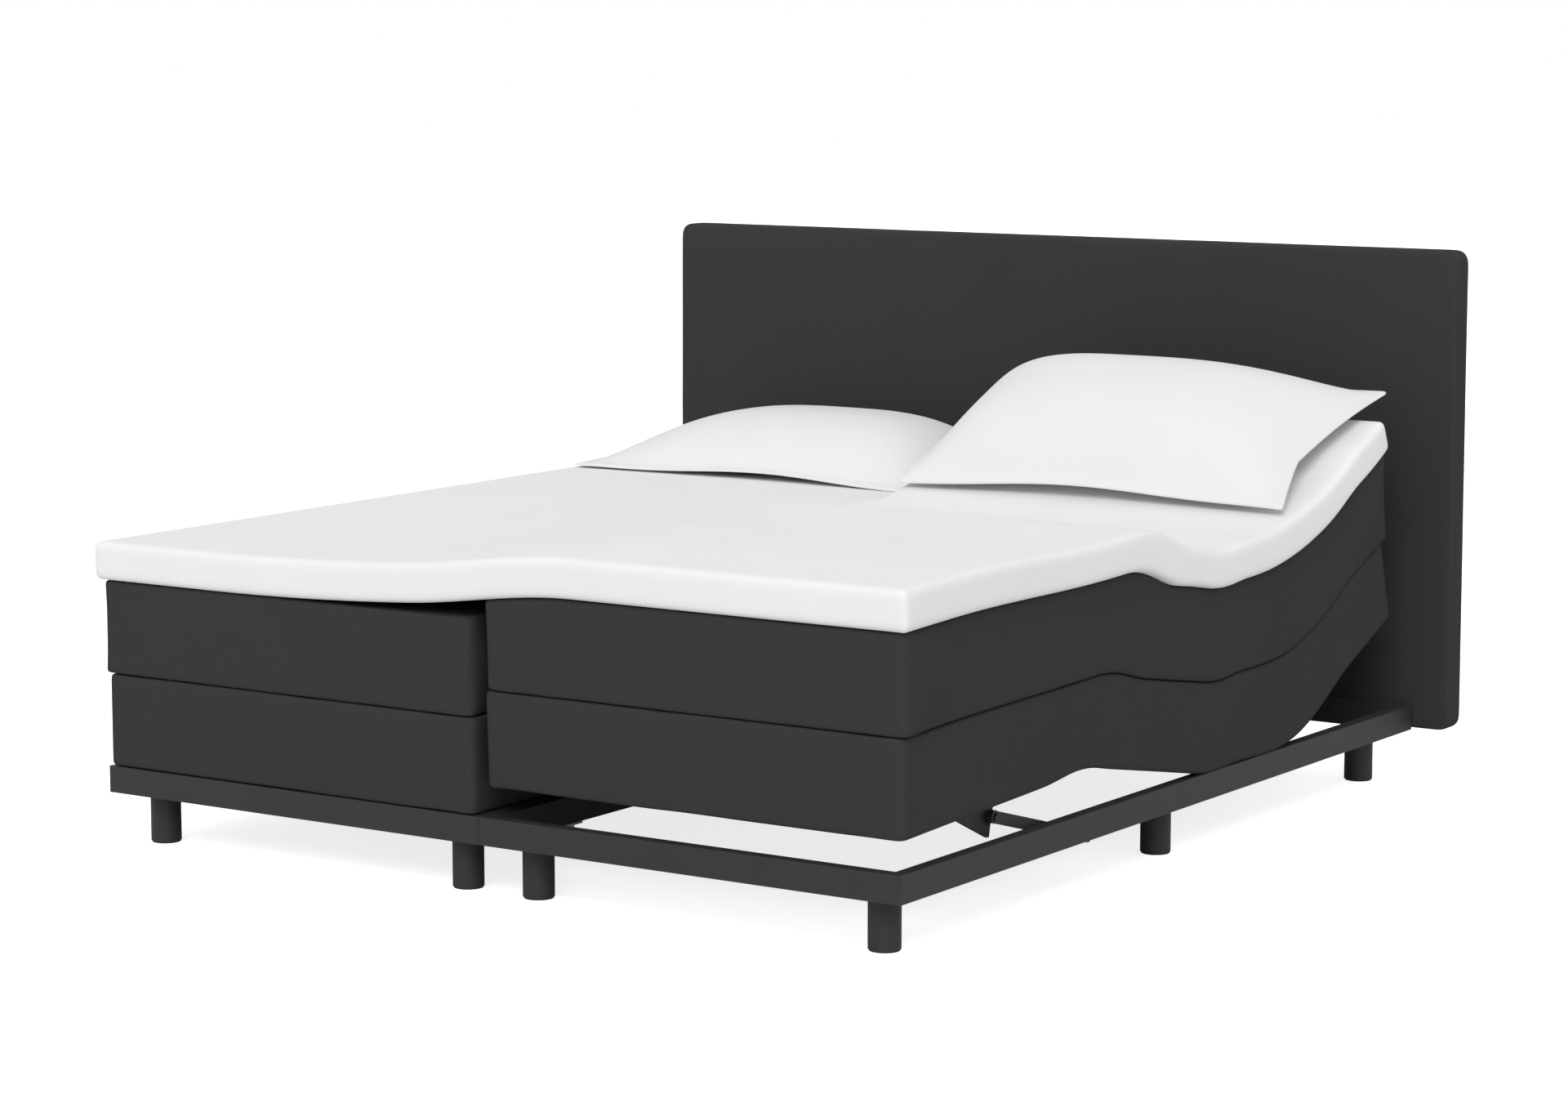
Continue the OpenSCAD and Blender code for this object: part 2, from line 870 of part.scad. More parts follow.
module dark_wedges(y, half, lean0, lean1) {
    across(box_middle, unit_w - box_side)
        polygon(wedge(y, hinge_z + 24, mattress_z, half, lean0, lean1));
    across(box_middle - mattress_out, unit_w + mattress_out)
        polygon(wedge(y, mattress_z, topper_z, half, lean0, lean1));
}

module back_fold(side) {
    half = back_max_angle / 2;
    color(DARK) unit(side)
        dark_wedges(back_y, half, -half, half - back_angle(side));
}

module thigh_fold(side) {
    half = thigh_max_angle / 2;
    color(DARK) unit(side)
        dark_wedges(thigh_y, half, thigh_angle(side) - half, half);
}

module knee_fold(side) {
    color(DARK) on_thigh(side)
        dark_wedges(knee_y, 0, -calf_ratio * thigh_angle(side), 0);
}

module topper_knee_fold() {
    side = "right";
    color(WHITE) on_thigh(side)
        across(fold_gap / 2, unit_w + topper_out)
            polygon(wedge(knee_y, topper_z, top_z, 0, -calf_ratio * thigh_angle(side), 0));
}

// Topper over the seat, between the planes of the thigh and back blocks
function middle_line(side, z) = let (bt = thigh_max_angle / 2, bb = back_max_angle / 2, h = z - hinge_z) [
    on_plane(thigh_y, z, bt, thigh_angle(side) - bt),
    [thigh_y + h * tan(bt), z],
    [max(back_y - h * tan(bb), thigh_y + h * tan(bt) + 1), z],
    on_plane(back_y, z, bb, bb - back_angle(side))
];

module topper_middle() {
    color(WHITE)
        for (side = SIDES)
            unit(side)
                across(fold_gap / 2, unit_w + topper_out)
                    polygon(concat(
                        middle_line(side, topper_z),
                        [for (i = [3:-1:0]) middle_line(side, top_z)[i]]
                    ));
}

// ---- Headboard ----

module board(w, h, t, r) {
    translate([-w / 2, t, 0])
        rotate([90, 0, 0])
            linear_extrude(t)
                rounded(w, h, r);
}

module headboard() {
    color(DARK) whole_bed()
        translate([0, board_y, leg_h])
            board(board_w, board_h, board_t - back_t, board_r);
}

module headboard_back() {
    inset = 18;
    color(PLASTIC) whole_bed()
        translate([0, board_y + board_t - back_t, leg_h + inset])
            board(board_w - 2 * inset, board_h - 2 * inset, back_t, board_r - 8);
}

// Flat steel bars bolted to the head rails and screwed to the front of the headboard
module headboard_brackets() {
    low = 6;
    head_h = 3;
    head_d = 16;
    color(STEEL)
        for (side = SIDES)
            unit(side) {
                translate([mid_x - bracket_w / 2, bed_l, leg_h + low])
                    cube([bracket_w, bracket_t, bracket_h]);
                for (x = [-bracket_w / 4, bracket_w / 4])
                    translate([mid_x + x, bed_l - rail_t, leg_h + rail_h / 2])
                        rotate([90, 0, 0])
                            cylinder(h = bolt_h, d = bolt_d, $fn = 6);
                for (z = [0.3, 0.6, 0.9])
                    translate([mid_x, bed_l, leg_h + bracket_h * z])
                        rotate([90, 0, 0])
                            cylinder(h = head_h, d = head_d);
            }
}

// ---- Parts ----

base_frame("left");  // base_frame_left
base_frame("right");  // base_frame_right
legs("left");  // legs_left
legs("right");  // legs_right
leg_glides();
frame_connectors();
headboard();
headboard_back();
headboard_brackets();
control_boxes();
seat_frame("left");  // seat_frame_left
seat_frame("right");  // seat_frame_right
seat_box("left");  // seat_box_left
seat_box("right");  // seat_box_right
seat_mattress("left");  // seat_mattress_left
seat_mattress("right");  // seat_mattress_right
back_motor("left");  // back_motor_left
back_motor("right");  // back_motor_right
leg_motor("left");  // leg_motor_left
leg_motor("right");  // leg_motor_right
back_frame("left");  // back_frame_left
back_frame("right");  // back_frame_right
back_box("left");  // back_box_left
back_box("right");  // back_box_right
back_mattress("left");  // back_mattress_left
back_mattress("right");  // back_mattress_right
back_topper("left");  // back_topper_left
back_topper("right");  // back_topper_right
pillow("left");  // pillow_left
pillow("right");  // pillow_right
thigh_frame("left");  // thigh_frame_left
thigh_frame("right");  // thigh_frame_right
thigh_box("left");  // thigh_box_left
thigh_box("right");  // thigh_box_right
thigh_mattress("left");  // thigh_mattress_left
thigh_mattress("right");  // thigh_mattress_right
thigh_topper("left");  // thigh_topper_left
thigh_topper("right");  // thigh_topper_right
calf_frame("left");  // calf_frame_left
calf_frame("right");  // calf_frame_right
calf_box("left");  // calf_box_left
calf_box("right");  // calf_box_right
calf_mattress("left");  // calf_mattress_left
calf_mattress("right");  // calf_mattress_right
calf_topper("left");  // calf_topper_left
calf_topper("right");  // calf_topper_right
calf_links("left");  // calf_links_left
calf_links("right");  // calf_links_right
back_rod("left");  // back_rod_left
back_rod("right");  // back_rod_right
leg_rod("left");  // leg_rod_left
leg_rod("right");  // leg_rod_right
back_fold("left");  // back_fold_left
back_fold("right");  // back_fold_right
thigh_fold("left");  // thigh_fold_left
thigh_fold("right");  // thigh_fold_right
knee_fold("right");  // knee_fold_right
topper_middle();
topper_knee_fold();
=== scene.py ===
import json
import math

import bpy
import numpy as np
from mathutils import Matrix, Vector


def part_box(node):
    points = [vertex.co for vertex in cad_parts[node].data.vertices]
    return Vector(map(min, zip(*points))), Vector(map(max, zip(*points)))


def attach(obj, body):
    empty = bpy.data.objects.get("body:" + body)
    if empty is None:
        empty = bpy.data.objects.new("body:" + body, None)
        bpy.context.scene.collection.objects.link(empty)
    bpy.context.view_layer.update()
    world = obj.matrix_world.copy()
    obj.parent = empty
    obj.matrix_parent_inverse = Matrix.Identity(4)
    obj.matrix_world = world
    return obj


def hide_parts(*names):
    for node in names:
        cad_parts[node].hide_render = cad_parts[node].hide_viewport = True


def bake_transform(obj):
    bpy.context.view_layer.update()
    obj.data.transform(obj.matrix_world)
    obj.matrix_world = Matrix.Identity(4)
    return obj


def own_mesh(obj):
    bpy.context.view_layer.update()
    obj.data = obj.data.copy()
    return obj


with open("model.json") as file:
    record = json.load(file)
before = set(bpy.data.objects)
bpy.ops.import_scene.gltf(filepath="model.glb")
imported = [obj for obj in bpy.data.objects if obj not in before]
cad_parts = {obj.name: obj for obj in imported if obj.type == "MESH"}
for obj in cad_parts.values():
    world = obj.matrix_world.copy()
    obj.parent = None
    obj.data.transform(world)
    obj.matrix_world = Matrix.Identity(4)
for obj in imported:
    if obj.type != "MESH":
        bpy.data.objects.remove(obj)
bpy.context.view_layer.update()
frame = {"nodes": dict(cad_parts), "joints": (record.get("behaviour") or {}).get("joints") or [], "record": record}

SIDES = ("left", "right")
PARTS = ("back", "thigh", "calf")
JOINTS = {joint["name"]: joint for joint in frame["joints"]}
ACROSS, ALONG = (1, 0, 0), (0, 1, 0)
# Lengths below this count as nothing
TINY = 1e-6


# ---- Camera, light and floor ----

LENS = 92.75
CAMERA_PLACE = (4.396, -6.631, 1.5885)
# How far the camera looks down and is turned to the left, in degrees
CAMERA_DOWN, CAMERA_TURN = 7.63, 33.71

# The way to the sun, its strength, and its width in degrees
SUN_WAY = (0.33, -0.70, 0.634)
SUN_STRENGTH, SUN_WIDTH = 1.40, 30

WHITE = (1, 1, 1, 1)
# The strength of the even light all round
ROOM_STRENGTH = 0.70
# The floor's width, its colour, and the glow that makes it white to the eye
FLOOR_SIZE, FLOOR_GREY, FLOOR_GLOW = 60, (0.8, 0.8, 0.8, 1), 0.80


def add_camera():
    data = bpy.data.cameras.new("camera")
    data.sensor_width = 36.0
    data.lens = LENS
    camera = bpy.data.objects.new("camera", data)
    bpy.context.scene.collection.objects.link(camera)
    camera.location = CAMERA_PLACE
    camera.rotation_euler = (math.radians(90 - CAMERA_DOWN), 0, math.radians(CAMERA_TURN))
    bpy.context.scene.camera = camera


def add_sun():
    """A wide soft lamp, high up past the foot end."""
    data = bpy.data.lights.new("sun", "SUN")
    data.energy = SUN_STRENGTH
    data.angle = math.radians(SUN_WIDTH)
    lamp = bpy.data.objects.new("sun", data)
    bpy.context.scene.collection.objects.link(lamp)
    lamp.rotation_euler = Vector(SUN_WAY).to_track_quat("Z", "Y").to_euler()


# ---- Shader wiring ----

# Sockets of the Mix node that have the same names for numbers and for colours
MIX_FIRST, MIX_SECOND, MIX_RESULT = 6, 7, 2


class Wire:
    """A shader value. The usual signs between wires and numbers add Math nodes."""

    def __init__(self, recipe, socket):
        self.recipe = recipe
        self.socket = socket

    def _math(self, operation, *values):
        return self.recipe.node("Math", {"operation": operation}, dict(enumerate(values)))

    def __add__(self, other):
        return self._math("ADD", self, other)

    def __radd__(self, other):
        return self._math("ADD", other, self)

    def __mul__(self, other):
        return self._math("MULTIPLY", self, other)

    def __rmul__(self, other):
        return self._math("MULTIPLY", other, self)

    def __pow__(self, other):
        return self._math("POWER", self, other)

    def larger(self, other):
        return self._math("MAXIMUM", self, other)

    def sine(self):
        return self._math("SINE", self)

    def size(self):
        return self._math("ABSOLUTE", self)


class Recipe:
    """The nodes of one material, or of the world."""

    def __init__(self, owner):
        owner.use_nodes = True
        self.owner = owner
        self.tree = owner.node_tree
        self.tree.nodes.clear()

    def node(self, kind, settings=None, inputs=None, output=0):
        """Adds a node, sets it up, and gives one of its outputs as a wire."""
        made = self.tree.nodes.new("ShaderNode" + kind)
        for setting, value in (settings or {}).items():
            setattr(made, setting, value)
        for socket, value in (inputs or {}).items():
            if isinstance(value, Wire):
                self.tree.links.new(value.socket, made.inputs[socket])
            else:
                made.inputs[socket].default_value = value
        return Wire(self, made.outputs[output]) if len(made.outputs) else None

    def all_outputs(self, wire):
        """Every output of the node that a wire comes from, by name."""
        return {socket.name: Wire(self, socket) for socket in wire.socket.node.outputs}

    def axes(self, vector):
        """The three numbers of a vector."""
        return self.all_outputs(self.node("SeparateXYZ", None, {0: vector})).values()

    def place(self):
        return self.node("TexCoord", None, None, "Object")

    def facing(self):
        return self.node("TexCoord", None, None, "Normal")

    def noise(self, scale, detail=2.0, rough=0.5, stretch=(1, 1, 1)):
        where = self.node("Mapping", None, {"Vector": self.place(), "Scale": stretch})
        return self.node(
            "TexNoise", None,
            {"Vector": where, "Scale": scale, "Detail": detail, "Roughness": rough},
        )

    def blend(self, share, first, second):
        """A colour between two, by share."""
        colours = {"Factor": share, MIX_FIRST: (*first, 1), MIX_SECOND: (*second, 1)}
        return self.node("Mix", {"data_type": "RGBA"}, colours, MIX_RESULT)

    def bump(self, height, depth, strength, under=None):
        inputs = {"Height": height, "Distance": depth, "Strength": strength}
        if under:
            inputs["Normal"] = under
        return self.node("Bump", None, inputs)

    def finish(self, **inputs):
        """Ends the recipe with the surface shader."""
        named = {key.replace("_", " "): value for key, value in inputs.items()}
        surface = self.node("BsdfPrincipled", None, named)
        self.node("OutputMaterial", None, {"Surface": surface})
        return self.owner


def new_recipe(name):
    return Recipe(bpy.data.materials.new(name))


# ---- Finishes ----

def woven(recipe, pitch):
    """Height of a plain weave, laid on each face along the two axes that it spans."""
    nx, ny, nz = (n.size() ** 3 for n in recipe.axes(recipe.facing()))
    turn = math.pi / pitch
    sx, sy, sz = ((axis * turn).sine() for axis in recipe.axes(recipe.place()))
    return nz * sx * sy + nx * sy * sz + ny * sx * sz


def dark_weave():
    recipe = new_recipe("dark_weave")
    melange = recipe.noise(420, 3, 0.65)
    cloud = recipe.noise(5)
    deep, pale = (0.034, 0.034, 0.0345), (0.050, 0.050, 0.0505)
    thread = recipe.bump(woven(recipe, pitch=0.0016), 0.0004, 0.5)
    return recipe.finish(
        Base_Color=recipe.blend(melange * 0.75 + cloud * 0.25, deep, pale),
        Roughness=0.95,
        Normal=recipe.bump(recipe.noise(60, 3), 0.0006, 0.4, thread),
        Specular_IOR_Level=0.05,
    )


def white_knit(name, low, high, pitch):
    """A plain white cloth, mottled between two greys."""
    recipe = new_recipe(name)
    thread = recipe.bump(woven(recipe, pitch), 0.0004, 0.35)
    return recipe.finish(
        Base_Color=recipe.blend(recipe.noise(7, 3), (low,) * 3, (high,) * 3),
        Roughness=0.9,
        Normal=recipe.bump(recipe.noise(25), 0.0012, 0.25, thread),
        Specular_IOR_Level=0.2,
    )


def painted_steel():
    recipe = new_recipe("painted_steel")
    worn = recipe.noise(14, 4)
    deep, pale = (0.022, 0.022, 0.0225), (0.030, 0.030, 0.0305)
    return recipe.finish(
        Base_Color=recipe.blend(worn, deep, pale),
        Roughness=worn * 0.12 + 0.5,
        Normal=recipe.bump(recipe.noise(900), 0.0002, 0.35),
        Specular_IOR_Level=0.35,
    )


def zinc_plate():
    recipe = new_recipe("zinc_plate")
    brushed = recipe.noise(60, 4, 0.6, (14, 1, 14))
    deep, pale = (0.44, 0.45, 0.46), (0.60, 0.60, 0.61)
    return recipe.finish(
        Base_Color=recipe.blend(recipe.noise(30, 3), deep, pale),
        Metallic=1.0,
        Roughness=brushed * 0.2 + 0.3,
        Normal=recipe.bump(brushed, 0.0001, 0.3),
    )


def black_plastic():
    recipe = new_recipe("black_plastic")
    grain = recipe.noise(1100)
    deep, pale = (0.020, 0.020, 0.021), (0.028, 0.028, 0.029)
    return recipe.finish(
        Base_Color=recipe.blend(recipe.noise(20), deep, pale),
        Roughness=grain * 0.15 + 0.45,
        Normal=recipe.bump(grain, 0.0002, 0.5),
    )


def black_lining():
    recipe = new_recipe("black_lining")
    fleck = recipe.noise(300, 4, 0.7)
    return recipe.finish(
        Base_Color=recipe.blend(fleck, (0.014,) * 3, (0.028,) * 3),
        Roughness=0.95,
        Normal=recipe.bump(fleck, 0.0006, 0.6),
        Specular_IOR_Level=0.15,
    )


MATERIALS = {
    "dark_fabric": dark_weave(),
    "white_cover": white_knit("white_cover", 0.80, 0.84, 0.0022),
    "pillow_cotton": white_knit("pillow_cotton", 0.76, 0.79, 0.0012),
    "painted_steel": painted_steel(),
    "zinc_steel": zinc_plate(),
    "black_plastic": black_plastic(),
    "backing_cloth": black_lining(),
}


def dress_solids():
    """Gives each CAD node the finish of its material slot."""
    slots = {part["node"]: part["material_slot"] for part in frame["record"]["subparts"]}
    for node, solid in frame["nodes"].items():
        solid.data.materials.clear()
        solid.data.materials.append(MATERIALS[slots[node]])


def floor_material():
    """A pale floor that is white to the eye and keeps the bed's shadow."""
    recipe = new_recipe("floor")
    plain = recipe.node("BsdfDiffuse", None, {"Color": FLOOR_GREY})
    glow = recipe.node("Emission", None, {"Color": WHITE, "Strength": FLOOR_GLOW})
    lit = recipe.node("AddShader", None, {0: plain, 1: glow})
    seen = recipe.node("LightPath", None, None, "Is Camera Ray")
    mixed = recipe.node("MixShader", None, {0: seen, 1: plain, 2: lit})
    recipe.node("OutputMaterial", None, {"Surface": mixed})
    return recipe.owner


def add_floor():
    bpy.ops.object.select_all(action="DESELECT")
    bpy.ops.mesh.primitive_plane_add(size=FLOOR_SIZE, location=(0, 0, 0))
    floor = bpy.context.object
    floor.name = "floor"
    floor.data.materials.append(floor_material())


def set_world():
    """Even light all round, seen as white by the eye and in reflections."""
    world = bpy.data.worlds.new("world")
    bpy.context.scene.world = world
    recipe = Recipe(world)
    light = recipe.node("Background", None, {"Color": WHITE, "Strength": ROOM_STRENGTH})
    white = recipe.node("Background", None, {"Color": WHITE, "Strength": 1})
    rays = recipe.all_outputs(recipe.node("LightPath"))
    seen = rays["Is Camera Ray"].larger(rays["Is Glossy Ray"]).larger(rays["Is Transmission Ray"])
    mixed = recipe.node("MixShader", None, {0: seen, 1: light, 2: white})
    recipe.node("OutputWorld", None, {"Surface": mixed})


# ---- Soft shapes ----

# Edges sharper than the first are softened, and the shading is smooth over those up to the second
SHARP_EDGE, SMOOTH_EDGE = math.radians(60), math.radians(50)
# The finish of each kind of padded piece, and how full it is
COVER_OF = {
    "box": ("dark_fabric", 1.0),
    "mattress": ("dark_fabric", 0.9),
    "topper": ("white_cover", 0.9),
    "headboard": ("dark_fabric", 1.0),
    "pillow": ("pillow_cotton", 0.7),
}


def activate(piece):
    bpy.ops.object.select_all(action="DESELECT")
    piece.select_set(True)
    bpy.context.view_layer.objects.active = piece


def points_of(piece):
    points = np.empty(len(piece.data.vertices) * 3)
    piece.data.vertices.foreach_get("co", points)
    return points.reshape(-1, 3)


def set_points(piece, points):
    piece.data.vertices.foreach_set("co", np.asarray(points, float).ravel())
    piece.data.update()


def copy_of(piece, name):
    made = piece.copy()
    made.data = piece.data.copy()
    made.name = name
    made.data.name = name
    bpy.context.scene.collection.objects.link(made)
    return made


def select_edges(piece, wanted):
    """Selects the edges for which wanted(a, b) is true, a and b being the edge's ends."""
    mesh = piece.data
    points = points_of(piece)
    ends = np.empty(len(mesh.edges) * 2, int)
    mesh.edges.foreach_get("vertices", ends)
    a, b = points[ends[0::2]], points[ends[1::2]]
    mesh.polygons.foreach_set("select", np.zeros(len(mesh.polygons), bool))
    mesh.vertices.foreach_set("select", np.zeros(len(mesh.vertices), bool))
    mesh.edges.foreach_set("select", wanted(a, b))
    bpy.context.tool_settings.mesh_select_mode = (False, True, False)


def select_sharp_edges():
    bpy.context.tool_settings.mesh_select_mode = (False, True, False)
    bpy.ops.object.mode_set(mode="EDIT")
    bpy.ops.mesh.select_all(action="DESELECT")
    bpy.ops.mesh.edges_select_sharp(sharpness=SHARP_EDGE)
    bpy.ops.object.mode_set(mode="OBJECT")


def edges_along(axis):
    """A test for the edges that run along an axis."""
    return lambda a, b: np.delete(np.abs(a - b), axis, 1).max(1) < TINY


def corner_edges(low, high, axis):
    """A test for the edges that run along an axis at the corners of a block."""
    def at_corner(a, b):
        outside = np.minimum(np.abs(a - low), np.abs(a - high))
        return edges_along(axis)(a, b) & (np.delete(outside, axis, 1).max(1) < TINY)

    return at_corner


def bevel_selected(width, segments):
    bpy.ops.object.mode_set(mode="EDIT")
    bpy.ops.mesh.bevel(offset=width, segments=segments, affect="EDGES")
    bpy.ops.object.mode_set(mode="OBJECT")


def add_block(name, low, high, cuts, corner=0, rim=0, axis=2, segments=3):
    """A block cut in even strips, with its corners along an axis rounded and its rims softened."""
    bpy.ops.object.select_all(action="DESELECT")
    bpy.ops.mesh.primitive_cube_add(size=1, location=(low + high) / 2, scale=high - low)
    block = bpy.context.object
    block.name = name
    bpy.ops.object.transform_apply(location=True, rotation=True, scale=True)
    for way, count in enumerate(cuts):
        select_edges(block, edges_along(way))
        bpy.ops.object.mode_set(mode="EDIT")
        bpy.ops.mesh.subdivide(number_cuts=count)
        bpy.ops.object.mode_set(mode="OBJECT")
    if corner:
        select_edges(block, corner_edges(low, high, axis))
        bevel_selected(corner, segments)
    if rim:
        select_sharp_edges()
        bevel_selected(rim, 2)
    return block


def inflate(piece, reach, pressure=4.0, frames=20):
    """Blows the cover out with air, by no more than reach along each axis."""
    activate(piece)
    cloth = piece.modifiers.new("cloth", "CLOTH")
    cloth.settings.use_pressure = True
    cloth.settings.uniform_pressure_force = pressure
    cloth.settings.effector_weights.gravity = 0
    cloth.point_cache.frame_start = 1
    cloth.point_cache.frame_end = frames
    for step in range(1, frames + 1):
        bpy.context.scene.frame_set(step)
    seen = piece.evaluated_get(bpy.context.evaluated_depsgraph_get())
    blown = np.empty(len(seen.data.vertices) * 3)
    seen.data.vertices.foreach_get("co", blown)
    piece.modifiers.remove(cloth)
    bpy.context.scene.frame_set(1)
    start = points_of(piece)
    moved = blown.reshape(-1, 3) - start
    set_points(piece, start + reach * np.tanh(moved / reach))


def refine(piece, levels):
    activate(piece)
    surface = piece.modifiers.new("surface", "SUBSURF")
    surface.levels = levels
    surface.render_levels = levels
    bpy.ops.object.modifier_apply(modifier=surface.name)


def fit(piece, low, high):
    """Stretches a piece to fill a box."""
    points = points_of(piece)
    small, large = points.min(0), points.max(0)
    share = (points - small) / (large - small)
    set_points(piece, np.array(low) + share * (np.array(high) - np.array(low)))


def mirrored(piece, name):
    """The same piece for the other side of the bed."""
    other = copy_of(piece, name)
    set_points(other, points_of(other) * (-1, 1, 1))
    activate(other)
    bpy.ops.object.mode_set(mode="EDIT")
    bpy.ops.mesh.select_all(action="SELECT")
    bpy.ops.mesh.flip_normals()
    bpy.ops.object.mode_set(mode="OBJECT")
    return other


def for_side(piece, side, name):
    """A copy of a piece, which is modelled for the right side, for one side of the bed."""
    return copy_of(piece, name) if side == "right" else mirrored(piece, name)


def cut_across(piece, place, way, keep_far):
    """Cuts a piece across, square to the way and at its place along it, and closes the cut."""
    activate(piece)
    bpy.ops.object.mode_set(mode="EDIT")
    bpy.ops.mesh.select_all(action="SELECT")
    bpy.ops.mesh.bisect(
        plane_co=Vector(way) * place, plane_no=way, use_fill=True,
        clear_inner=keep_far, clear_outer=not keep_far,
    )
    bpy.ops.object.mode_set(mode="OBJECT")


def dress(piece, kind):
    """Gives a padded piece its cover."""
    slot, fill = COVER_OF[kind]
    piece.data.materials.clear()
    piece.data.materials.append(MATERIALS[slot])
    activate(piece)
    bpy.ops.object.shade_smooth_by_angle(angle=SMOOTH_EDGE)


# ---- How the beds bend ----

# Rounds of finding how far along a bend each point ends up
FOLD_ROUNDS = 60
# How far the bends of the back and thigh start on the seat's side of their hinges
BACK_START, THIGH_START = 0.16, 0.145
# Where the covers of seat and back are parted, before the back's hinge
SEAT_CUT = 0.1675
# How the layers of a unit that is stored raised lie: they stretch thin over the knee, fill out
# at the hip and give way up the back. Each has a depth, a place past its joint, and a reach.
THIN_KNEE = (0.017, 0.07, 0.6)
FULL_HIP = (0.016, 0.03, 0.2)
SLACK_BACK = (0.018, 0.33, 0.25)
# How far up the layers, as a share of their height, this still grows
SETTLE_TOP = 1.2
# Undersides of the lowest and the highest layer
BOX_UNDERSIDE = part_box("calf_box_left")[0].z
TOPPER_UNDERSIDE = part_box("calf_topper_left")[0].z


def smooth(t):
    t = np.clip(t, 0, 1)
    return t * t * (3 - 2 * t)


def hump(place, middle, reach):
    """A smooth hump that is 1 at the middle and nothing beyond its reach."""
    wave = 0.5 + 0.5 * np.cos(np.pi * (place - middle) / reach)
    return np.where(abs(place - middle) < reach, wave, 0)


def turn(points, centre, angles):
    """Turns points about an axis along X, each by its own angle."""
    y, z = points[:, 1] - centre[1], points[:, 2] - centre[2]
    turned = points.copy()
    turned[:, 1] = centre[1] + y * np.cos(angles) - z * np.sin(angles)
    turned[:, 2] = centre[2] + y * np.sin(angles) + z * np.cos(angles)
    return turned


def fold(points, centre, angle, zone):
    """Bends points about an axis, from nothing at the zone's start to the angle at its end."""
    start, end = np.array(zone)
    way = (end - start) / ((end - start) ** 2).sum()
    share = np.zeros(len(points))
    if angle:
        for _ in range(FOLD_ROUNDS):
            share = smooth((turn(points, centre, share * angle) - start) @ way)
    return turn(points, centre, share * angle)


def stored_angle(joint):
    """How far a joint is from flat as the bed is stored."""
    return -math.radians(JOINTS[joint]["range_deg"][0])


class Unit:
    """One half of the bed: where it bends, and how far it is bent as it is stored."""

    def __init__(self, side, back_reach, thigh_reach, knee_reach, knee_lean, thigh_cut):
        self.side = side
        self.hip = JOINTS["back_" + side]["pos_m"]
        self.seat = JOINTS["legs_" + side]["pos_m"]
        self.knee = JOINTS["calf_left"]["pos_m"]
        self.back_angle = stored_angle("back_" + side)
        self.thigh_angle = -stored_angle("legs_" + side)
        back_zone = self.zone(self.hip[1] - BACK_START, back_reach + BACK_START)
        thigh_zone = self.zone(self.seat[1] + THIGH_START, -thigh_reach - THIGH_START)
        knee_zone = self.zone(self.knee[1] + knee_reach, -2 * knee_reach, knee_lean)
        base, back, thigh, calf = "base", "back_" + side, "thigh_" + side, "calf_" + side
        # Each part's hinge, its stored angle, its zone and the two bodies that it joins
        self.bends = {
            "back": (self.hip, self.back_angle, back_zone, (base, back)),
            "thigh": (self.seat, self.thigh_angle, thigh_zone, (base, thigh)),
            "calf": (self.knee, stored_angle("calf_" + side), knee_zone, (thigh, calf)),
        }
        self.seat_cut = self.hip[1] - SEAT_CUT
        self.thigh_cut = self.seat[1] - thigh_cut

    def zone(self, start, length, lean=0):
        """The two ends of a bend; its upper side leans towards the head end."""
        lean = math.radians(lean)
        way = (0, length * math.cos(lean), abs(length) * math.sin(lean))
        return [(0, start, self.knee[2]), (0, start + way[1], self.knee[2] + way[2])]

    def settle(self, points, flat):
        """The layers stretch thin over a raised knee and fill out at the foot of the back."""
        if not self.back_angle:
            return points
        height = (flat[:, 2] - BOX_UNDERSIDE) / (TOPPER_UNDERSIDE - BOX_UNDERSIDE)
        thin, full, slack = (
            depth * hump(points[:, 1], joint[1] + past, reach)
            for joint, (depth, past, reach) in (
                (self.knee, THIN_KNEE), (self.hip, FULL_HIP), (self.hip, SLACK_BACK),
            )
        )
        settled = points.copy()
        settled[:, 2] -= np.clip(height, 0, SETTLE_TOP) * (thin - full + slack)
        return settled

    def stored(self, points, part):
        """Bends the points of one part from flat to the way the bed is stored."""
        bent = fold(points, *self.bends[part][:3])
        if part == "calf":
            bent = turn(bent, self.seat, self.thigh_angle)
        return self.settle(bent, points)

    def stored_anywhere(self, points):
        """The same for points of any part."""
        back, calf = points[:, 1] > self.seat_cut, points[:, 1] < self.thigh_cut
        bent = points.copy()
        for part, chosen in (("back", back), ("calf", calf), ("thigh", ~back & ~calf)):
            bent[chosen] = self.stored(points[chosen], part)
        return bent

    def join(self, piece, part):
        """Bakes the placement of a stored piece into its mesh."""
        _, _, zone, bodies = self.bends[part]
        if part == "calf":
            zone = turn(np.array(zone), self.seat, self.thigh_angle)
        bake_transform(piece)


# How far each unit's bends reach past the hinges of its back and thigh and on both sides of its
# knee, the lean of the knee's bend in degrees, and how far past the thigh's hinge the calf's cover
# starts. The unit that is stored raised has the tighter bends.
UNITS = {
    "left": Unit("left", back_reach=0.435, thigh_reach=0.15, knee_reach=0.12, knee_lean=0,
                 thigh_cut=0.21),
    "right": Unit("right", back_reach=0.31, thigh_reach=0.06, knee_reach=0.105, knee_lean=24,
                  thigh_cut=0.135),
}

# Where the topper starts to climb over the left unit, climbs faster and is fully up, along X,
# and the share of the lift that it has by the second place
CLIMB_START, CLIMB_KNEE, CLIMB_END = -0.62, -0.154, 0.21
CLIMB_LOW = 0.31
# Half the length over which the climb fades out at the seat, and its middle before the hip
FADE_HALF = 0.1


def flat_layer(kind):
    """Lowest and highest corner of one layer of the right unit when it lies flat."""
    low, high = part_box("back_%s_left" % kind)
    foot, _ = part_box("calf_%s_left" % kind)
    return Vector((-high.x, foot.y, low.z)), Vector((-low.x, high.y, high.z))


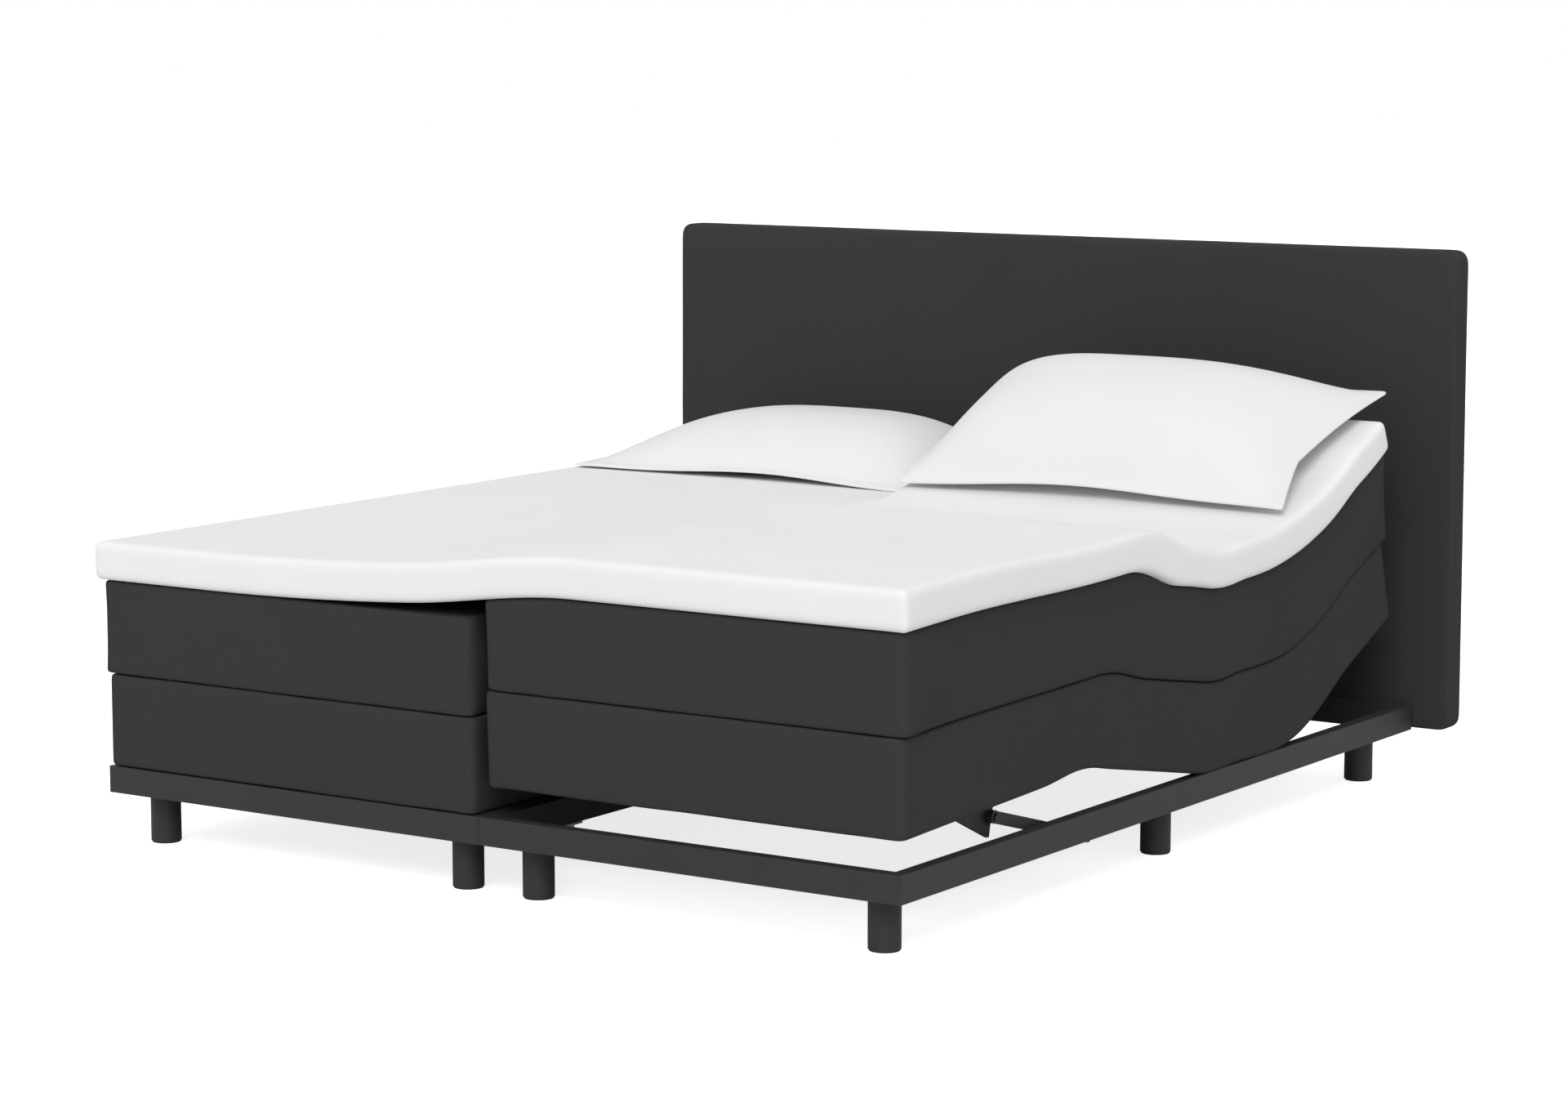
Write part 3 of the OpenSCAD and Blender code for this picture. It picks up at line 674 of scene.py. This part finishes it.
def rise(x):
    """Share of the right unit's lift that the topper has at x: it climbs across the middle."""
    tail_run, run = CLIMB_KNEE - CLIMB_START, CLIMB_END - CLIMB_KNEE
    tail = CLIMB_LOW * (np.clip(x - CLIMB_START, 0, tail_run) / tail_run) ** 2
    slope = 2 * CLIMB_LOW / tail_run
    t = np.clip((x - CLIMB_KNEE) / run, 0, 1)
    main = (1 - smooth(t)) * CLIMB_LOW + run * slope * (t - 2 * t**2 + t**3) + smooth(t)
    return np.where(x < CLIMB_KNEE, tail, main)


def lift(points):
    """How far the right unit's stored shape has moved from flat, fading out at the seat."""
    unit = UNITS["right"]
    fade = smooth((unit.hip[1] - FADE_HALF - points[:, 1]) / (2 * FADE_HALF))
    return (unit.stored_anywhere(points) - points) * fade[:, None]


# ---- Boxes, mattresses and topper ----

NODES_OF = {
    ("box", "back"): ["back_box_%s"],
    ("box", "thigh"): ["seat_box_%s", "thigh_box_%s"],
    ("box", "calf"): ["calf_box_%s"],
    ("mattress", "back"): ["back_mattress_%s", "back_fold_%s"],
    ("mattress", "thigh"): ["seat_mattress_%s", "thigh_mattress_%s", "thigh_fold_%s"],
    ("mattress", "calf"): ["calf_mattress_%s"],
    ("topper", "back"): ["back_topper_%s"],
    ("topper", "thigh"): ["thigh_topper_%s"],
    ("topper", "calf"): ["calf_topper_%s"],
}
EXTRA_NODES = {
    ("mattress", "calf", "right"): ["knee_fold_right"],
    ("topper", "thigh", "right"): ["topper_middle"],
    ("topper", "calf", "right"): ["topper_knee_fold"],
}

# Strips along each axis of a padded layer, and the rounding of its corners and rims
PADDED_CUTS = (30, 66, 8)
PADDED_CORNER, PADDED_RIM = 0.016, 0.006
# How far the sides of a box and of a mattress bulge between their seams
BOX_CROWN, MATTRESS_CROWN = 0.006, 0.018
# How much less the ends bulge, on each side of the seams, and how far the top and bottom may
END_PULL, END_REACH, TOP_REACH = 0.6, 0.7, 0.0005
# How far the cover of a box swells past its solid on its inner side, underneath and on its outer
# side, and that of a mattress on its outer side
BOX_INNER_SWELL, BOX_UNDER_SWELL, BOX_OUTER_SWELL = 0.004, 0.0035, 0.002
MATTRESS_OUTER_SWELL = 0.009
# How far the head end is cut back at the bottom and at the top of a box and of a mattress,
# and the length over which that fades out
BOX_TRIM, MATTRESS_TRIM = (0.08, 0.06), (0.055, -0.004)
TRIM_LENGTH = 0.45
# Half of the slit between the topper's halves, its rounding, and its strips
TOPPER_SLIT = 0.0005
TOPPER_EDGE = 0.012
TOPPER_CUTS_SPLIT, TOPPER_CUTS_WHOLE = (24, 50, 2), (49, 50, 2)


def add_layer(kind, block, shape, parts=PARTS):
    """Cuts a flat layer into the parts of each unit, bends each and sets it in its place."""
    for side in SIDES:
        unit = UNITS[side]
        whole = for_side(block, side, "whole")
        for part in parts:
            piece = copy_of(whole, "%s_%s_%s" % (side, kind, part))
            cut_across(piece, unit.seat_cut, ALONG, keep_far=part == "back")
            if part != "back":
                cut_across(piece, unit.thigh_cut, ALONG, keep_far=part == "thigh")
            flat = points_of(piece)
            set_points(piece, shape(unit, flat, unit.stored(flat, part)))
            dress(piece, kind)
            nodes = [name % side for name in NODES_OF[kind, part]]
            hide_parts(*nodes, *EXTRA_NODES.get((kind, part, side), []))
            unit.join(piece, part)
        bpy.data.objects.remove(whole)
    bpy.data.objects.remove(block)


def padded_layer(name, low, high, crown):
    """A padded block whose sides are blown out by the crown, between its seams."""
    pull = Vector((crown, END_PULL * crown, 0))
    block = add_block(name, low + pull, high - pull, PADDED_CUTS, PADDED_CORNER, PADDED_RIM)
    inflate(block, np.array((crown, END_REACH * crown, TOP_REACH)))
    refine(block, 1)
    return block


def trim_head(block, low, high, bottom, top):
    """Slants the head end, so that it stands upright once the back is raised."""
    points = points_of(block)
    height = (points[:, 2] - low.z) / (high.z - low.z)
    share = smooth((points[:, 1] - high.y + TRIM_LENGTH) / TRIM_LENGTH)
    points[:, 1] -= share * (bottom + (top - bottom) * height)
    set_points(block, points)


def box_shape(unit, flat, stored):
    """A box only bends with its sections."""
    return stored


def add_boxes():
    low, high = flat_layer("box")
    block = padded_layer("box", low, high, BOX_CROWN)
    swell = Vector((BOX_INNER_SWELL, 0, BOX_UNDER_SWELL))
    fit(block, low - swell, high + Vector((BOX_OUTER_SWELL, 0, 0)))
    trim_head(block, low, high, *BOX_TRIM)
    add_layer("box", block, box_shape)


def mattress_shape(unit, flat, stored):
    """The topper presses the inner shoulder of the raised mattress down."""
    if unit.side == "left":
        return stored
    low, high = flat_layer("mattress")
    height = np.clip((flat[:, 2] - low.z) / (high.z - low.z), 0, 1)
    share = (1 - rise(flat[:, 0])) * height**2
    return stored - lift(flat) * share[:, None]


def add_mattresses():
    low, high = flat_layer("mattress")
    block = padded_layer("mattress", low, high, MATTRESS_CROWN)
    fit(block, low, high + Vector((MATTRESS_OUTER_SWELL, 0, 0)))
    trim_head(block, low, high, *MATTRESS_TRIM)
    add_layer("mattress", block, mattress_shape)


def topper_shape(unit, flat, stored):
    """The foot half is one piece over both units, so it climbs from one to the other."""
    share = rise(flat[:, 0])[:, None]
    if unit.side == "left":
        return stored + lift(flat) * share
    return stored - lift(flat) * (1 - share)


def topper_block(name, low, high, cuts):
    block = add_block(name, low, high, cuts, TOPPER_EDGE, TOPPER_EDGE)
    refine(block, 1)
    fit(block, low, high)
    return block


def add_toppers():
    """Two flat blocks, split along the middle at the head half and whole across the foot half."""
    low, high = flat_layer("topper")
    split_low = Vector((TOPPER_SLIT, low.y, low.z))
    whole_low = Vector((-high.x, low.y, low.z))
    split = topper_block("topper_split", split_low, high, TOPPER_CUTS_SPLIT)
    whole = topper_block("topper_whole", whole_low, high, TOPPER_CUTS_WHOLE)
    cut_across(whole, 0, ACROSS, keep_far=True)
    add_layer("topper", split, topper_shape, ("back",))
    add_layer("topper", whole, topper_shape, ("thigh", "calf"))


# ---- Headboard ----

# How far the padding bulges along each axis, its strips, and the rounding of corners and rims
BOARD_CROWN = (0.003, 0.004, 0.003)
BOARD_CUTS = (40, 2, 20)
BOARD_CORNER, BOARD_RIM = 0.024, 0.007


def add_headboard():
    low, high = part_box("headboard")
    pull = Vector(BOARD_CROWN)
    board = add_block(
        "headboard_cover", low + pull, high - pull, BOARD_CUTS,
        BOARD_CORNER, BOARD_RIM, axis=1, segments=4,
    )
    inflate(board, np.array(BOARD_CROWN))
    refine(board, 2)
    fit(board, low, high)
    dress(board, "headboard")
    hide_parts("headboard")
    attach(board, "base")


# ---- Pillows ----

PILLOW_CUTS = (60, 38, 1)
# Height of a pillow's seam as it lies, and over its lowest side when it stands full
RIM_HEIGHT, FULL_SEAM = 0.014, 0.046
# Thickness of the rim above and below the seam
RIM_ABOVE, RIM_BELOW = 0.004, 0.002
# How far the underside hangs from the seam, and the seam falls at the corners
SEAM_DROP = 0.011
# The least height of a pillow's underside over what it lies on
LIE_HEIGHT = 0.0005
# How far the fullest place is shifted across and along, and where its slopes end
SHIFT_ACROSS, SHIFT_ALONG = 0.14, -0.16
SLOPE_ACROSS, SLOPE_ALONG = 0.965, 0.95
# How steep the slopes are, and how full the whole is
STEEP_ACROSS, STEEP_ALONG, FULLNESS = 3.2, 2.7, 0.8
# How far the sides are hollow between the corners, as a share of the half size
HOLLOW_ACROSS, HOLLOW_ALONG = 0.035, 0.06
# How high the long sides wave
WAVE = 0.006
# How far the air may move a pillow's cover along each axis
PILLOW_REACH = (0.006, 0.006, 0.008)
# The outer side of the right pillow is drawn in: the place along it where it is drawn in most,
# where the tuck starts across it, its share of the half width, and how far it is lifted
TUCK_PLACE, TUCK_START, TUCK_SHARE, TUCK_LIFT = -0.35, 0.35, 0.06, 0.010
# Where along its depth a pillow is held, and the share of its depth that it keeps
PILLOW_HOLD = {"left": (1.0, 0.73), "right": (0.34, 0.70)}


def shares(points, half):
    """How far points lie across and along a pillow, from -1 to 1."""
    return points[:, 0] / half.x, points[:, 1] / half.y


def pillow_cover(size):
    """A pillow that is fullest towards the middle of the bed, with a thin rim, hollow sides and
    pointed corners."""
    half = size / 2
    cover = add_block("cover", -half, half, PILLOW_CUTS)
    points = points_of(cover)
    x, y = shares(points, half)
    across = abs((x + SHIFT_ACROSS * (1 - x**2)) / SLOPE_ACROSS) ** STEEP_ACROSS
    along = abs((y + SHIFT_ALONG * (1 - y**2)) / SLOPE_ALONG) ** STEEP_ALONG
    crown = (np.clip(1 - across, 0, 1) * np.clip(1 - along, 0, 1)) ** FULLNESS
    above = RIM_ABOVE + (size.z - RIM_HEIGHT - RIM_ABOVE) * crown
    below = -RIM_BELOW - SEAM_DROP * crown
    points[:, 2] = np.where(points[:, 2] > 0, above, below)
    points[:, 0] *= 1 - HOLLOW_ACROSS * (1 - y**2)
    points[:, 1] *= 1 - HOLLOW_ALONG * (1 - x**2)
    set_points(cover, points)
    inflate(cover, np.array(PILLOW_REACH), pressure=3, frames=14)
    refine(cover, 1)
    fit(cover, (-half.x, -half.y, -RIM_HEIGHT), (half.x, half.y, size.z - RIM_HEIGHT))
    points = points_of(cover)
    x, y = shares(points, half)
    fallen = SEAM_DROP * (abs(x) * abs(y)) ** 3
    points[:, 2] += RIM_HEIGHT - fallen + WAVE * np.sin(5 * x + 2) * y**6
    points[:, 2] = np.maximum(points[:, 2], LIE_HEIGHT)
    set_points(cover, points)
    return cover


def tuck(points, half):
    """Draws in the outer side of a pillow, as its cover does where it is folded."""
    x, y = shares(points, half)
    near = np.where(y < TUCK_PLACE, (y + 1) / (1 + TUCK_PLACE), (1 - y) / (1 - TUCK_PLACE))
    pull = near * smooth((x - TUCK_START) / (1 - TUCK_START))
    points[:, 0] -= TUCK_SHARE * half.x * pull
    points[:, 2] += TUCK_LIFT * pull


def climb():
    """How much farther up the pillow lies on the raised back than on the flat one."""
    unit = UNITS["right"]
    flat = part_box("pillow_left")[0]
    height = flat.z + FULL_SEAM - unit.hip[2]
    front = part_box("pillow_right")[0].y - unit.hip[1] + height * math.sin(unit.back_angle)
    return front / math.cos(unit.back_angle) + unit.hip[1] - flat.y


def add_pillows():
    """Each pillow is a copy of one cover, laid on its own side of the bed."""
    low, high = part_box("pillow_left")
    middle = (low + high) / 2
    cover = pillow_cover(high - low)
    for side in SIDES:
        unit = UNITS[side]
        pillow = for_side(cover, side, side + "_pillow")
        points = points_of(pillow)
        if side == "left":
            place, up = middle.x, 0
        else:
            place, up = -middle.x, climb()
            tuck(points, (high - low) / 2)
        points += (place, middle.y + up, low.z)
        set_points(pillow, turn(points, unit.hip, unit.back_angle))
        dress(pillow, "pillow")
        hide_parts("pillow_" + side)
        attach(pillow, "back_" + side)
        anchor, keep = PILLOW_HOLD[side]
        held = np.array([[0, low.y + anchor * (high.y - low.y) + up, low.z]])
        held = turn(held, unit.hip, unit.back_angle)[0]
        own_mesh(pillow)
    bpy.data.objects.remove(cover)


add_camera()
set_world()
add_floor()
add_sun()
dress_solids()
add_boxes()
add_mattresses()
add_toppers()
add_headboard()
add_pillows()

bpy.context.scene.view_settings.view_transform = "Standard"
